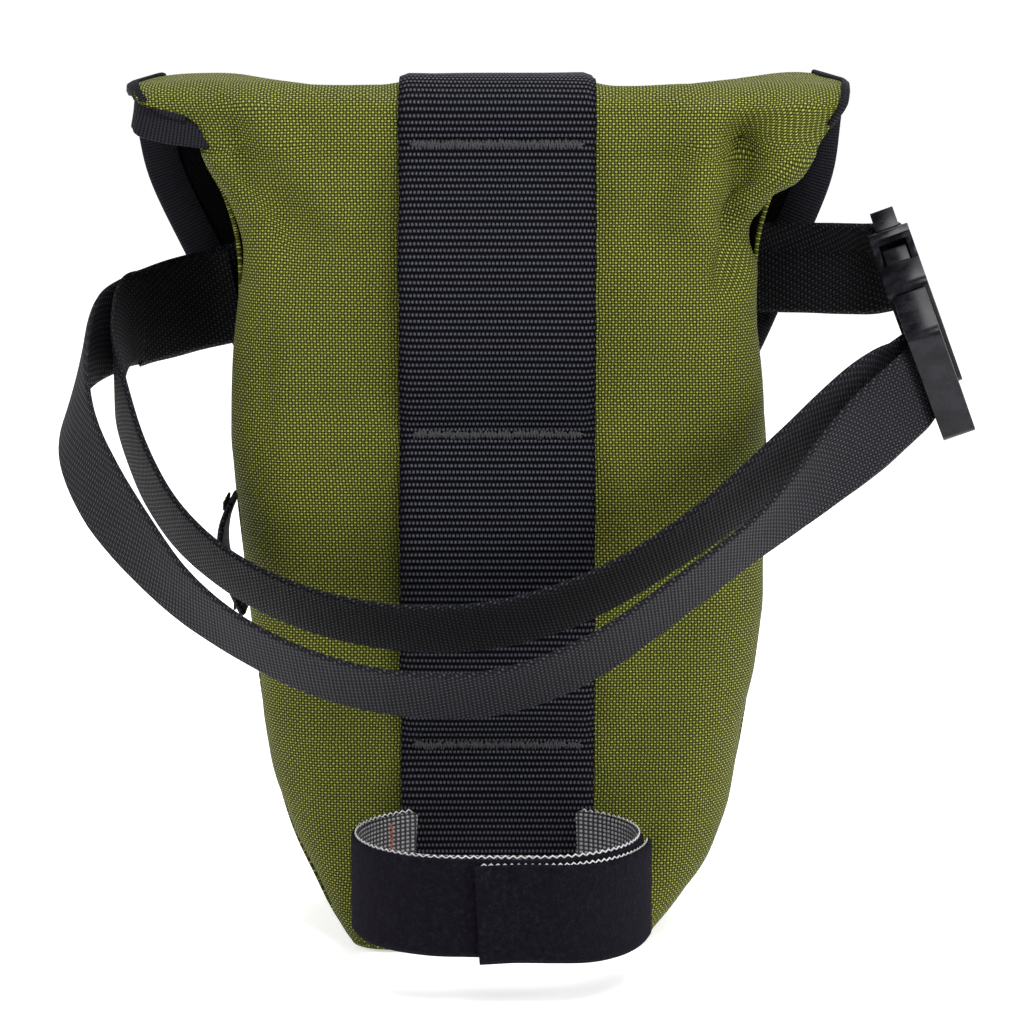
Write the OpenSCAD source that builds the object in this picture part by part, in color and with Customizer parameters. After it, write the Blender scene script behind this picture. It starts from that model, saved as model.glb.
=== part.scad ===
// Saddle bag with a fold-over lid, a buckled carrying strap and a seat-post strap.
// Millimetres. +Z is up, -Y is the side that faces the seat post, and the origin lies on the
// surface under the bag, on the middle line of its base.

/* [Bag body] */
// Height of the body up to its mouth
body_h = 216; // [200:1:230]
// Width of the flat base
base_w = 76; // [66:1:86]
// Width of the body at its waist
waist_w = 140; // [130:1:148]
// Width of the mouth
mouth_w = 152; // [148:1:158]
// Depth of the body at its mouth
body_d = 84; // [80:1:90]
// Depth of the base
base_d = 72; // [66:1:78]
// Thickness of the outer fabric with its coating
fabric = 1.6; // [1.2:0.1:2]

/* [Lid] */
// Widest part of the lid
lid_w = 198; // [188:1:204]
// Height of the lid's lower edge when it is closed
lid_drop_z = 128; // [126:1:134]
// Thickness of the lid's outer fabric
lid_fabric = 1.2; // [1:0.1:1.4]

/* [Webbing] */
// Width of the wide webbing down the mounting side
spine_w = 50; // [48:1:52]
// Thickness of the wide webbing
spine_t = 1.8; // [1.4:0.1:2]
// How far each webbing loop stands off the panel
loop_gap = 7; // [6:0.5:8]
// Width of the carrying strap
strap_w = 25; // [24:0.5:25.5]
// Thickness of the carrying strap
strap_t = 1.5; // [1.2:0.1:1.8]

/* [Seat-post strap] */
// Height of the hook-and-loop band
post_band_h = 25; // [22:1:28]
// Height of its lower edge
post_band_z = 14; // [12:1:16]
// Inside radius of its round ends
post_r = 25; // [23:1:26]
// Thickness of the band
post_t = 2; // [1.6:0.1:2.2]

/* [Buckle] */
// Outer width of the buckle
buckle_w = 36; // [35:0.5:38]
// Thickness of the buckle
buckle_t = 11; // [10:0.5:12]
// Length of the socket's shell
socket_l = 30; // [28:1:32]

/* [Hidden] */
$fn = 48;

// Places worked out from the driving dimensions
mount_y = -body_d / 2;
far_top_y = body_d / 2;
far_base_y = mount_y + base_d;
mouth_straight = 14;
lining_t = 0.8;
stiffener_t = 1.2;
pad_t = 4;
gap = 0.1;
bartack_z = [211, 137, 56];
bartack_h = 2.4;
bartack_t = 0.8;

// Right half of the body's outline, [half width, height], drawn in by the amount inset
function body_side(inset) =
    let (waist = waist_w / 2, mouth = mouth_w / 2, base = base_w / 2)
    [
        for (p = [
            [base, 0], [base + 6, 9], [base + 14, 21], [waist - 12.5, 32], [waist - 7.5, 54],
            [waist - 3, 90], [waist - 0.5, 118], [waist, 182], [mouth - 2.5, 197],
            [mouth, 205], [mouth, body_h]
        ])
            [p[0] - inset, p[1] + inset * max(0, 1 - p[1] / 32)]
    ];

// Outline of the body seen from the mounting side
function body_outline(inset) =
    let (side = body_side(inset))
    concat(side, [for (i = [len(side) - 1:-1:0]) [-side[i][0], side[i][1]]]);

// Outer face of the far panel at height z
function far_y(z) =
    far_base_y + (far_top_y - far_base_y) * min(1, z / (body_h - mouth_straight));

// Side view of the far panel's outer face, moved outwards by d
function far_line(d, z0, z1) =
    [[far_y(z0) + d, z0], [far_y(min(z1, body_h - mouth_straight)) + d, min(z1, body_h - mouth_straight)],
     [far_y(z1) + d, z1]];

function reversed(list) = [for (i = [len(list) - 1:-1:0]) list[i]];

// A side-view slab that follows the far panel between two offsets
function far_slab(d0, d1, z0, z1) = concat(far_line(d0, z0, z1), reversed(far_line(d1, z0, z1)));

// Unit normal of a side-view path, to the left of its direction
function normal_at(path, i) =
    let (d = path[min(i + 1, len(path) - 1)] - path[max(i - 1, 0)])
    [-d[1], d[0]] / norm(d);
function moved_path(path, d) = [for (i = [0:len(path) - 1]) path[i] + d * normal_at(path, i)];
function path_slab(path, d0, d1) = concat(moved_path(path, d0), reversed(moved_path(path, d1)));

// Side view of the closed lid, from the mounting side over the top to its lower edge, [y, z]
lid_path = [
    [-41.2, body_h + 1.2], [-40.2, body_h + 5], [-35.5, body_h + 9.5], [-26, body_h + 12],
    [-8, body_h + 13], [14, body_h + 13], [32, body_h + 12], [43, body_h + 9],
    [49, body_h + 3], [51.2, body_h - 6], [51.4, 196], [50.6, 176], [47.8, 156],
    [43.4, 143], [41.6, lid_drop_z]
];

// Half width of the lid along the top, [half width, y], and down the far side, [half width, z]
function lid_plan(inset) =
    let (half = lid_w / 2)
    [for (p = [[mouth_w / 2 + 1, -46], [mouth_w / 2 + 3, -34], [half - 5, 6], [half, 26], [half, 60]])
        [p[0] - inset, p[1]]];
function lid_elevation(inset) =
    let (half = lid_w / 2)
    [for (p = [
        [half - 46, lid_drop_z - 2], [half - 34, lid_drop_z + 4], [half - 30, lid_drop_z + 12],
        [half - 10, 182], [half - 2, 200], [half, 208], [half, body_h + 30]
    ])
        [p[0] - inset, p[1] + (p[1] < 140 ? inset : 0)]];

// Turns a right-hand edge into a closed outline that is the same on both sides
function both_sides(edge) = concat(edge, [for (i = [len(edge) - 1:-1:0]) [-edge[i][0], edge[i][1]]]);

// Side view of the wide webbing's inner face, [y, z], with a loop between each pair of bartacks
function loop_stretch(z_top, z_low, gap_y) =
    [for (i = [0:8]) let (s = i / 8)
        [mount_y - 0.1 - gap_y * sin(180 * s) ^ 0.8, z_top + (z_low - z_top) * s]];
spine_path = concat(
    [[mount_y - 0.1, body_h - 1]],
    loop_stretch(bartack_z[0] - 2, bartack_z[1] + 2, loop_gap),
    loop_stretch(bartack_z[1] - 2, bartack_z[2] + 2, loop_gap),
    [[mount_y - 0.1, bartack_z[2] - 3], [mount_y - 2.5, 47], [mount_y - 2.5, 40.5]]
);

// Buckle frame: its place, its length axis, its width and its thickness directions
buckle_at = [109, 20, 174.5];
buckle_axis = [0.1, -0.88, -0.46] / norm([0.1, -0.88, -0.46]);
buckle_lean = [-0.35, 0, 0.94];
buckle_across_raw = buckle_lean - (buckle_lean * buckle_axis) * buckle_axis;
buckle_across = buckle_across_raw / norm(buckle_across_raw);
buckle_out = cross(buckle_across, buckle_axis);
function in_buckle(p) =
    buckle_at + p[0] * buckle_across + p[1] * buckle_axis + p[2] * buckle_out;
socket_y0 = 6;
plug_y0 = socket_y0 + socket_l + 0.6;
plug_bar_y = plug_y0 + 12;
arm_pivot = [12.5, plug_y0 + 2.6];

// Smooth curve through hand-set points
function curve_point(p, i, t) =
    let (
        a = p[max(i - 1, 0)], b = p[i], c = p[i + 1], d = p[min(i + 2, len(p) - 1)]
    )
    0.5 * (2 * b + (c - a) * t + (2 * a - 5 * b + 4 * c - d) * t * t
        + (3 * b - a - 3 * c + d) * t * t * t);
function smooth_path(p, steps) =
    concat([for (i = [0:len(p) - 2]) for (k = [0:steps - 1]) curve_point(p, i, k / steps)],
        [p[len(p) - 1]]);

function unit(v) = v / norm(v);
function blend_up(list, s) =
    let (k = s * (len(list) - 1), i = min(floor(k), len(list) - 2), f = k - i,
        e = f * f * (3 - 2 * f))
    unit(list[i] * (1 - e) + list[i + 1] * e);

// A flat ribbon swept along a path: ups lists the directions of its width from end to end
module ribbon(points, ups, width, thick, steps = 2) {
    path = smooth_path(points, steps);
    n = len(path);
    corners = [
        for (i = [0:n - 1])
            let (
                t = unit(path[min(i + 1, n - 1)] - path[max(i - 1, 0)]),
                u0 = blend_up(ups, i / (n - 1)),
                u = unit(u0 - (u0 * t) * t),
                s = cross(t, u)
            )
            for (c = [[-1, -1], [1, -1], [1, 1], [-1, 1]])
                path[i] + c[0] * u * width / 2 + c[1] * s * thick / 2
    ];
    sides = [
        for (i = [0:n - 2]) for (k = [0:3])
            [4 * i + k, 4 * i + 4 + k, 4 * i + 4 + (k + 1) % 4, 4 * i + (k + 1) % 4]
    ];
    polyhedron(corners, concat(sides, [[0, 1, 2, 3]],
        [[4 * n - 1, 4 * n - 2, 4 * n - 3, 4 * n - 4]]), convexity = 8);
}

// Routes of the webbing, [x, y, z], chosen by hand
band_route = [
    [-88, 33, 163], [-80, 40, 164.5], [-73, 43, 166], [-66, 42.6, 167],
    [-40, 42.5, 169], [0, 42.6, 171], [40, 42.7, 173], [66, 43, 174], [73, 43.2, 174.2],
    [81, 40, 174.4], [90, 36, 174.6]
];
lead_route = [[91, 35.4, 174.6], [97, 32, 174.8], [102, 28, 175], [105.6, 24.4, 175.2]];
sleeve_route = [[-88.8, 32.2, 162], [-93.5, 27, 161], [-98, 20.5, 160]];
outer_route = [
    [-101, 12, 159.5], [-107, 1, 155.5], [-110.5, -14, 147], [-109.5, -29, 135.5], [-102.5, -42, 123],
    [-91.5, -53.5, 110.5], [-78, -64, 98], [-60.5, -73, 87.5], [-41, -80, 80.5],
    [-20.5, -84, 77.5], [0.5, -85, 78.5], [22.5, -82, 86], [47, -74, 101.5],
    [69, -63.5, 117], [87.5, -50, 132], [101, -36.8, 141.5], in_buckle([0, plug_bar_y + 2.6, -3.4])
];
inner_route = [
    [-99.6, 12.5, 160.5], [-101.2, 4, 156], [-101, -7, 147], [-97, -19.5, 136],
    [-90.5, -32, 123.5], [-80, -45, 111.5], [-64, -55.5, 101], [-43, -62, 93.5],
    [-20, -65.5, 90.5], [2.5, -67, 92.5], [25, -66, 100], [49, -61.5, 114],
    [71.5, -52, 130], [90, -39, 142.5], [101.7, -26.5, 146.7], in_buckle([0, plug_bar_y - 1.2, -4.3])
];
hanging_up = [0, -0.78, 0.62];
turning_up = [0.45, -0.6, 0.66];
upright = [0, 0, 1];

// Extrudes an outline drawn as [x, z] from y0 to y1
module from_front(y0, y1) {
    translate([0, y1, 0])
        rotate([90, 0, 0])
            linear_extrude(y1 - y0)
                children();
}

// Extrudes an outline drawn as [y, z] across the bag, width w about the middle
module from_side(w) {
    translate([-w / 2, 0, 0])
        rotate([90, 0, 90])
            linear_extrude(w)
                children();
}

module rounded_plate(w, l, r) {
    square([w - 2 * r, l], center = true);
    square([w, l - 2 * r], center = true);
    for (x = [-1, 1], y = [-1, 1])
        translate([x * (w / 2 - r), y * (l / 2 - r)])
            circle(r);
}

// Outer fabric -----------------------------------------------------------------------------

module mounting_panel() {
    color("olivedrab")
        from_front(mount_y, mount_y + fabric)
            polygon(body_outline(0));
}

module far_panel() {
    color("olivedrab")
        intersection() {
            from_side(mouth_w + 2)
                polygon(far_slab(-fabric, 0, 0, body_h));
            from_front(mount_y, far_top_y + 1)
                polygon(body_outline(0));
        }
}

// The space between the mounting panel and the far panel, less room for layers inside
module between_panels(near_room, far_room, floor_z) {
    from_side(mouth_w + 2)
        polygon(concat([[mount_y + near_room, floor_z]], far_line(-far_room, floor_z, body_h),
            [[mount_y + near_room, body_h]]));
}

// One strip runs down the left side, under the base and up the right side
module gusset_strip() {
    color("darkolivegreen")
        intersection() {
            between_panels(fabric, fabric, 0);
            from_front(mount_y, far_top_y + 1)
                difference() {
                    polygon(body_outline(0));
                    polygon(body_outline(fabric));
                    translate([-mouth_w / 2, body_h - 0.01])
                        square([mouth_w, 1]);
                }
        }
}

// Inner layers -----------------------------------------------------------------------------

lining_inset = fabric + gap;
lining_near = fabric + stiffener_t + 2 * gap;
lining_floor = fabric + pad_t + 2 * gap;

module lining() {
    color("tan")
        difference() {
            intersection() {
                between_panels(lining_near, fabric + gap, lining_floor);
                from_front(mount_y, far_top_y)
                    polygon(body_outline(lining_inset));
            }
            intersection() {
                between_panels(lining_near + lining_t, fabric + gap + lining_t,
                    lining_floor + lining_t);
                from_front(mount_y, far_top_y)
                    polygon(body_outline(lining_inset + lining_t));
            }
        }
}

module back_stiffener() {
    color("dimgray")
        from_front(mount_y + fabric + gap, mount_y + fabric + gap + stiffener_t)
            translate([0, body_h / 2 + 8])
                rounded_plate(waist_w - 42, body_h - 44, 12);
}

module base_pad() {
    color("gray")
        translate([0, (mount_y + far_base_y) / 2, fabric + gap])
            linear_extrude(pad_t)
                rounded_plate(base_w - 12, base_d - 2 * fabric - 8, 6);
}

// Tape folded over the mouth on its two sides and its far edge
module mouth_binding() {
    tape = 0.7;
    tape_h = 9;
    half = mouth_w / 2;
    inner = fabric + lining_t + 2 * gap + tape;
    y0 = mount_y + fabric + 4;
    color("black")
        difference() {
            translate([-half - tape, y0, body_h - tape_h])
                cube([mouth_w + 2 * tape, far_top_y + tape - y0, tape_h + tape]);
            translate([-half + inner, y0 - 1, body_h - tape_h - 1])
                cube([mouth_w - 2 * inner, far_top_y - inner - y0 + 1, tape_h + tape + 2]);
            translate([-half - gap / 2, y0 - 1, body_h - tape_h - 1])
                cube([fabric + lining_t + 3 * gap, far_top_y + gap - y0 + 1, tape_h + 1 + gap]);
            translate([half + gap / 2 - fabric - lining_t - 3 * gap, y0 - 1, body_h - tape_h - 1])
                cube([fabric + lining_t + 3 * gap, far_top_y + gap - y0 + 1, tape_h + 1 + gap]);
            translate([-half - gap / 2, far_top_y + gap / 2 - fabric - lining_t - 3 * gap, body_h - tape_h - 1])
                cube([mouth_w + gap, fabric + lining_t + 3 * gap, tape_h + 1 + gap]);
        }
}

module bag_loop_patch() {
    color("black")
        from_side(80)
            polygon(far_slab(gap, gap + 1.1, 134, 152));
}

// Wide webbing -----------------------------------------------------------------------------

// Below its last row of stitches the webbing lies against the inside of the seat-post band
module spine_webbing() {
    color("black") {
        from_side(spine_w)
            polygon(path_slab(reversed(spine_path), 0, spine_t));
        translate([0, post_y, post_band_z + 3])
            linear_extrude(39 - post_band_z)
                intersection() {
                    post_ring(post_r - 0.1 - spine_t, post_r - 0.1);
                    translate([-spine_w / 2, 0])
                        square([spine_w, post_r]);
                }
    }
}

// A row of close stitches that sews the webbing to the panel
module bartack(z) {
    stitches = 11;
    pitch = (spine_w - 8) / stitches;
    color("dimgray")
        for (i = [0:stitches - 1])
            translate([-spine_w / 2 + 4 + i * pitch + 0.3, mount_y - 0.1 - spine_t - bartack_t, z - bartack_h / 2])
                cube([pitch - 0.6, bartack_t, bartack_h]);
}

module bartack_top() {
    bartack(bartack_z[0]);
}

module bartack_middle() {
    bartack(bartack_z[1]);
}

module bartack_bottom() {
    bartack(bartack_z[2]);
}

// Lid --------------------------------------------------------------------------------------

// Everything inside the lid's edge, drawn in by the amount inset
module lid_reach(inset) {
    intersection() {
        translate([0, 0, 100])
            linear_extrude(150)
                polygon(both_sides(lid_plan(inset)));
        from_front(-50, 60)
            polygon(both_sides(lid_elevation(inset)));
    }
}

module lid_layer(d0, d1, inset = 0) {
    intersection() {
        from_side(lid_w + 4)
            polygon(path_slab(lid_path, d0, d1));
        lid_reach(inset);
    }
}

module lid_flap() {
    color("olivedrab")
        lid_layer(0, lid_fabric);
}

module lid_lining() {
    color("black")
        lid_layer(-lining_t, -0.02);
}

// Tape folded round the lid's edge, outside and inside
module lid_binding() {
    tape = 0.6;
    tape_w = 10;
    color("black")
        for (side = [[-lining_t - tape, -lining_t - 0.02], [lid_fabric + 0.02, lid_fabric + tape]])
            difference() {
                lid_layer(side[0], side[1]);
                lid_reach(tape_w);
                translate([-lid_w, mount_y - 10, 0])
                    cube([2 * lid_w, 30, 400]);
            }
}

// The wide webbing goes on over the top of the lid
module lid_webbing() {
    color("black")
        intersection() {
            from_side(spine_w)
                polygon(path_slab(lid_path, lid_fabric + 0.05, lid_fabric + spine_t));
            translate([-spine_w, mount_y - 10, lid_drop_z + 12])
                cube([2 * spine_w, 120, 150]);
        }
}

module lid_hook_patch() {
    color("black")
        intersection() {
            from_side(76)
                polygon(path_slab(lid_path, -lining_t - 0.75, -lining_t - 0.05));
            translate([-50, 0, 139])
                cube([100, 60, 13]);
        }
}

// Carrying strap ---------------------------------------------------------------------------

module carry_band() {
    color("black")
        ribbon(band_route, [upright, upright], strap_w, strap_t);
}

// The band's left end is folded into a sleeve that the long strap comes out of
module left_sleeve() {
    color("black")
        ribbon(sleeve_route, [upright, upright], strap_w + 1.5, 2 * strap_t);
}

// Lead from the band to the socket, with an eye round the socket's bar
module buckle_lead() {
    color("black") {
        ribbon(lead_route, [upright, buckle_across], strap_w, strap_t);
        in_buckle_frame()
            rotate([0, 90, 0])
                difference() {
                    cylinder(h = strap_w, r = 4.3, center = true);
                    cylinder(h = strap_w + 1, r = 2.7, center = true);
                }
    }
}

module long_strap() {
    color("black") {
        ribbon(outer_route, [upright, turning_up, hanging_up, hanging_up, hanging_up, buckle_across, buckle_across],
            strap_w, strap_t);
        ribbon(inner_route, [upright, hanging_up, hanging_up, hanging_up, buckle_across, buckle_across],
            strap_w, strap_t);
        in_buckle_frame()
            translate([0, plug_bar_y, 0])
                rotate([0, 90, 0])
                    difference() {
                        cylinder(h = strap_w, r = 3.9, center = true);
                        cylinder(h = strap_w + 1, r = 2.1, center = true);
                    }
    }
}

// Buckle -----------------------------------------------------------------------------------

module in_buckle_frame() {
    multmatrix([
        [buckle_across[0], buckle_axis[0], buckle_out[0], buckle_at[0]],
        [buckle_across[1], buckle_axis[1], buckle_out[1], buckle_at[1]],
        [buckle_across[2], buckle_axis[2], buckle_out[2], buckle_at[2]],
        [0, 0, 0, 1]
    ])
        children();
}

module buckle_socket() {
    wall = 1.8;
    rail_w = 4;
    mouth_x = buckle_w / 2 - wall;
    color("dimgray")
        in_buckle_frame() {
            difference() {
                translate([0, socket_y0 + socket_l / 2, -buckle_t / 2])
                    linear_extrude(buckle_t)
                        rounded_plate(buckle_w, socket_l, 3);
                translate([-mouth_x, socket_y0 + 3, -buckle_t / 2 + wall])
                    cube([2 * mouth_x, socket_l, buckle_t - 2 * wall]);
                for (x = [-1, 1])
                    translate([x * buckle_w / 2, socket_y0 + 12, 0])
                        cylinder(h = buckle_t + 2, r = 6.5, center = true);
            }
            for (x = [-1, 1])
                translate([x * (strap_w / 2 + 0.6 + rail_w / 2), 1.6, 0])
                    cube([rail_w, 9.2, 6.4], center = true);
            rotate([0, 90, 0])
                cylinder(h = strap_w + 3, r = 2.5, center = true);
        }
}

module buckle_plug() {
    frame_l = 22;
    slot_l = 11;
    color("dimgray")
        in_buckle_frame() {
            difference() {
                translate([0, plug_y0 + frame_l / 2, -4.4])
                    linear_extrude(8.8)
                        rounded_plate(buckle_w, frame_l, 3);
                translate([0, plug_bar_y + 0.5, 0])
                    cube([strap_w + 1.4, slot_l, 10], center = true);
                for (x = [-1, 1])
                    translate([x * arm_pivot[0], arm_pivot[1] - 1.3, 0]) {
                        translate([0, 1.3, 0])
                            cylinder(h = 10, r = 2.6, center = true);
                        translate([0, -1.4, 0])
                            cube([5.2, 5.4, 10], center = true);
                    }
            }
            translate([0, plug_bar_y, 0])
                rotate([0, 90, 0])
                    cylinder(h = strap_w + 3, r = 1.9, center = true);
            translate([0, plug_y0 - 9, 0])
                cube([5, 20, 3.6], center = true);
        }
}

// One springy arm of the plug, with its thumb pad in the socket's side opening
module buckle_arm(side) {
    arm_l = 25;
    color("dimgray")
        in_buckle_frame()
            translate([side * arm_pivot[0], arm_pivot[1], 0]) {
                cylinder(h = 6.4, r = 2.2, center = true);
                translate([0, -arm_l / 2, 0])
                    cube([2.6, arm_l, 6.4], center = true);
                translate([side * 1.2, -arm_l + 3.5, -3.2])
                    linear_extrude(6.4)
                        rounded_plate(4.6, 9, 1.6);
            }
}

module buckle_arm_upper() {
    buckle_arm(1);
}

module buckle_arm_lower() {
    buckle_arm(-1);
}

// Seat-post strap --------------------------------------------------------------------------

post_half = 10;
post_y = mount_y - 0.3 - post_t - post_r;

// A band that runs round both ends of the loop, between two radii
module post_ring(r0, r1) {
    difference() {
        post_plate(r1);
        post_plate(r0);
    }
}

module post_plate(r) {
    square([2 * post_half, 2 * r], center = true);
    for (x = [-1, 1])
        translate([x * post_half, 0])
            circle(r);
}

module post_strap() {
    color("black")
        translate([0, post_y, post_band_z])
            linear_extrude(post_band_h)
                post_ring(post_r, post_r + post_t);
}

// The overlapping end, which peels open from the right side
module post_strap_end() {
    r0 = post_r + post_t + 0.3;
    color("black")
        translate([0, post_y, post_band_z - 1.5])
            linear_extrude(post_band_h)
                intersection() {
                    post_ring(r0, r0 + post_t);
                    translate([-3, -r0 - post_t - 1])
                        square([post_half + r0 + post_t + 4, r0 + post_t + 1]);
                }
}

// Side loop --------------------------------------------------------------------------------

side_loop_path = [
    [-waist_w / 2 + 1.6, 86], [-waist_w / 2 - 1.4, 91], [-waist_w / 2 - 3.6, 99],
    [-waist_w / 2 - 3.4, 107], [-waist_w / 2 - 0.6, 114]
];

module side_loop() {
    color("black")
        from_front(-12.5, 12.5)
            polygon(path_slab(side_loop_path, 0, 1.5));
}

module side_loop_bartacks() {
    color("dimgray")
        for (end = [[-71.45, 84.9], [-73.75, 113.2]])
            translate([end[0], -10, end[1]])
                cube([1.2, 20, 1.2]);
}

mounting_panel();
far_panel();
gusset_strip();
lining();
back_stiffener();
base_pad();
mouth_binding();
bag_loop_patch();
spine_webbing();
bartack_top();
bartack_middle();
bartack_bottom();
lid_flap();
lid_lining();
lid_binding();
lid_webbing();
lid_hook_patch();
carry_band();
left_sleeve();
buckle_lead();
buckle_socket();
buckle_plug();
buckle_arm_upper();
buckle_arm_lower();
long_strap();
post_strap();
post_strap_end();
side_loop();
side_loop_bartacks();
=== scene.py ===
"""Looks of the saddle bag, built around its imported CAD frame. Metres, +Z up, -Y towards the seat post."""
import math

import bmesh
import bpy
import numpy as np
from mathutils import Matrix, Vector, noise


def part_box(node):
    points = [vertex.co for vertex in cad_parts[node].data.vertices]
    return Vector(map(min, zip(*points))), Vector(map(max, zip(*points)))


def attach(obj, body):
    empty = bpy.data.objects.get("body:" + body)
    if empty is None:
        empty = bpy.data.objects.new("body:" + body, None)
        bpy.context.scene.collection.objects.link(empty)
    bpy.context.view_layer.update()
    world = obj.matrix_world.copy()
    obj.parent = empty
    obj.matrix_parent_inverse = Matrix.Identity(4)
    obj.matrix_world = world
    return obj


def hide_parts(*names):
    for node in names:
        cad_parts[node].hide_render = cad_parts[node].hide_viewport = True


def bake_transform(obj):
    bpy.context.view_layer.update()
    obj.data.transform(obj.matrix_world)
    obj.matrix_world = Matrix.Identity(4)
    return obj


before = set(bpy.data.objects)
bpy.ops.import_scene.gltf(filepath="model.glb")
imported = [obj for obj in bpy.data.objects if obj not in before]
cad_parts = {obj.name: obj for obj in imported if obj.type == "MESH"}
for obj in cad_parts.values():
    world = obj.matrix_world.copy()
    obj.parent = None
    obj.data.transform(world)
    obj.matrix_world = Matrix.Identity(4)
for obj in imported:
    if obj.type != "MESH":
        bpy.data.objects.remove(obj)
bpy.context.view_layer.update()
MM = 0.001

# Sizes shared by several pieces, in millimetres as in the design --------------------------
MOUNT_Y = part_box("mounting_panel")[0][1] / MM
BODY_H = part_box("mounting_panel")[1][2] / MM
# The body is less deep at its base than at its mouth
FAR_BASE_Y = 30.0
FAR_TOP_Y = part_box("far_panel")[1][1] / MM
# Height of the cloth's lowest row, and the cloth's thickness
LOW_ROW = 1.2
CLOTH_T = 1.1
SPINE_W = 50.0
SPINE_T = 1.8
STRAP_W = 25.0
STRAP_T = 1.5
TAPE_W = 9.5
LID_LOW_Z = 127.5

# Directions that a ribbon's width takes
UPRIGHT = (0, 0, 1)
LEVEL = (-1, 0, 0)


# Curves -----------------------------------------------------------------------------------
def catmull(points, steps):
    """A smooth curve through given points, as an array."""
    p = np.array(points, float)
    out = []
    for i in range(len(p) - 1):
        a, b, c, d = p[max(i - 1, 0)], p[i], p[i + 1], p[min(i + 2, len(p) - 1)]
        for k in range(steps):
            t = k / steps
            out.append(0.5 * (2 * b + (c - a) * t + (2 * a - 5 * b + 4 * c - d) * t * t
                              + (3 * b - a - 3 * c + d) * t ** 3))
    out.append(p[-1])
    return np.array(out)


def even(path, count):
    """The same path with its points evenly spaced."""
    path = np.asarray(path, float)
    d = run_length(path)
    s = np.linspace(0, d[-1], count)
    return np.stack([np.interp(s, d, path[:, k]) for k in range(path.shape[1])], axis=1)


def smoothed(path, rounds):
    """Rounds off a path's corners and keeps its ends."""
    path = np.array(path, float)
    for _ in range(rounds):
        path[1:-1] = 0.25 * path[:-2] + 0.5 * path[1:-1] + 0.25 * path[2:]
    return path


def unit(v):
    """Vectors scaled to length 1."""
    v = np.asarray(v, float)
    return v / np.maximum(np.linalg.norm(v, axis=-1, keepdims=True), 1e-9)


def ease(t):
    """Rises from 0 to 1 with a soft start and end."""
    t = np.clip(t, 0, 1)
    return t * t * (3 - 2 * t)


def hump(x, centre, width):
    """A soft bump, 1 at its centre."""
    return np.exp(-((x - centre) / width) ** 2)


# Meshes -----------------------------------------------------------------------------------
def placed(name, data):
    """A new object in the scene with this mesh, light or camera."""
    obj = bpy.data.objects.new(name, data)
    bpy.context.collection.objects.link(obj)
    return obj


def make_object(name, verts, faces, uvs):
    """A mesh object in metres from vertices in millimetres; uvs gives each vertex's cloth place."""
    mesh = bpy.data.meshes.new(name)
    mesh.from_pydata([tuple(v) for v in np.asarray(verts) * MM], [], faces)
    mesh.update()
    layer = mesh.uv_layers.new(name="cloth")
    loops = np.empty(len(mesh.loops), int)
    mesh.loops.foreach_get("vertex_index", loops)
    layer.data.foreach_set("uv", np.asarray(uvs, float)[loops].ravel())
    mesh.polygons.foreach_set("use_smooth", [True] * len(mesh.polygons))
    return placed(name, mesh)


def run_length(path):
    """Distance along a path at each of its points."""
    return np.r_[0, np.cumsum(np.linalg.norm(np.diff(path, axis=0), axis=1))]


def grid_faces(rows, cols, wrap=False, base=0, flip=False):
    """Quads between the points of a grid; wrap joins its last column to its first."""
    faces = []
    for i in range(rows - 1):
        for j in range(cols if wrap else cols - 1):
            k = (j + 1) % cols
            low = base + i * cols
            f = (low + j, low + k, low + cols + k, low + cols + j)
            faces.append(f[::-1] if flip else f)
    return faces


def grid_normals(g):
    """Unit normals of a grid of points."""
    du = np.gradient(g, axis=1)
    dv = np.gradient(g, axis=0)
    return unit(np.cross(du, dv))


def sheet_object(name, grid, thick, uv, flip=False):
    """A closed sheet of cloth: the grid is its outer face, and thick is how deep it goes."""
    rows, cols, _ = grid.shape
    n = grid_normals(grid) * (-1 if flip else 1)
    inner = grid - n * thick
    verts = np.concatenate([grid.reshape(-1, 3), inner.reshape(-1, 3)])
    count = rows * cols
    faces = grid_faces(rows, cols, flip=flip) + grid_faces(rows, cols, base=count, flip=not flip)
    ring = list(range(cols)) + [i * cols + cols - 1 for i in range(1, rows)]
    ring += [(rows - 1) * cols + j for j in range(cols - 2, -1, -1)]
    ring += [i * cols for i in range(rows - 2, 0, -1)]
    for a, b in zip(ring, ring[1:] + ring[:1]):
        f = (a, a + count, b + count, b)
        faces.append(f[::-1] if flip else f)
    uvs = np.concatenate([uv.reshape(-1, 2), uv.reshape(-1, 2)])
    return make_object(name, verts, faces, uvs)


def mix_directions(ups, count, share=None):
    """Directions of a ribbon's width along its path, eased from one to the next; share places them."""
    ups = np.array(ups, float)
    if len(ups) == count:
        return ups
    share = np.linspace(0, 1, len(ups)) if share is None else np.array(share)
    out = []
    for s in np.linspace(0, 1, count):
        i = min(int(np.searchsorted(share, s, side="right") - 1), len(share) - 2)
        e = ease((s - share[i]) / (share[i + 1] - share[i]))
        out.append(ups[i] * (1 - e) + ups[i + 1] * e)
    return unit(np.array(out))


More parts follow.
